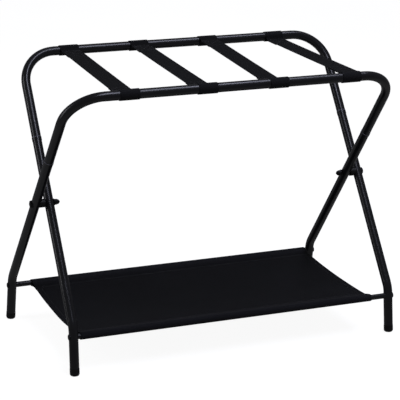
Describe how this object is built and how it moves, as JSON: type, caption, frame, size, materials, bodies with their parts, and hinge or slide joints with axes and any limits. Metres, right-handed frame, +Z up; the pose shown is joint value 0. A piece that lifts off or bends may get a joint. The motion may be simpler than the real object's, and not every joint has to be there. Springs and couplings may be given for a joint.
{
  "type": "folding luggage rack",
  "caption": "Folding luggage rack: two crossed bent-tube frames pivoted together, webbing straps across the top rails and a sagging fabric shelf on the lower crossbars.",
  "frame": {"origin": "on the floor, in the middle of the four feet", "axes": "+X along the top rails, +Y towards the back, +Z up; -Y is the side that faces the viewer"},
  "size_m": [0.6922, 0.3832, 0.5351],
  "materials": {
    "rail_tube": "satin black powder coat",
    "leg_tube": "satin black powder coat",
    "crossbar": "satin black powder coat",
    "insert": "zinc plated",
    "screw": "black oxide",
    "foot": "matte moulded",
    "pivot_hardware": "black oxide",
    "spacer": "moulded nylon",
    "webbing": "woven polypropylene webbing",
    "shelf_fabric": "woven polyester cloth"
  },
  "bodies": {
    "front_rail_frame": {"front_rail_tube": "rail_tube", "back_left_leg": "leg_tube", "back_right_leg": "leg_tube", "back_crossbar": "crossbar", "back_left_insert": "insert", "back_right_insert": "insert", "back_left_screw": "screw", "back_right_screw": "screw", "back_left_foot": "foot", "back_right_foot": "foot", "left_bolt": "pivot_hardware", "left_saddle": "spacer", "left_spacer": "spacer", "left_washer": "pivot_hardware", "left_cap_nut": "pivot_hardware", "strap_1": "webbing", "strap_2": "webbing", "strap_3": "webbing", "strap_4": "webbing", "shelf_fabric": "shelf_fabric"},
    "back_rail_frame": {"back_rail_tube": "rail_tube", "front_left_leg": "leg_tube", "front_right_leg": "leg_tube", "front_crossbar": "crossbar", "front_left_insert": "insert", "front_right_insert": "insert", "front_left_screw": "screw", "front_right_screw": "screw", "front_left_foot": "foot", "front_right_foot": "foot", "right_bolt": "pivot_hardware", "right_saddle": "spacer", "right_spacer": "spacer", "right_washer": "pivot_hardware", "right_cap_nut": "pivot_hardware"}
  },
  "joints": [
    {"name": "fold", "type": "hinge", "parent": "front_rail_frame", "child": "back_rail_frame", "pos_m": [0, 0, 0.28224], "axis": [1, 0, 0], "range_deg": [0, 65.5], "deforming": ["strap_1", "strap_2", "strap_3", "strap_4", "shelf_fabric"]}
  ]
}
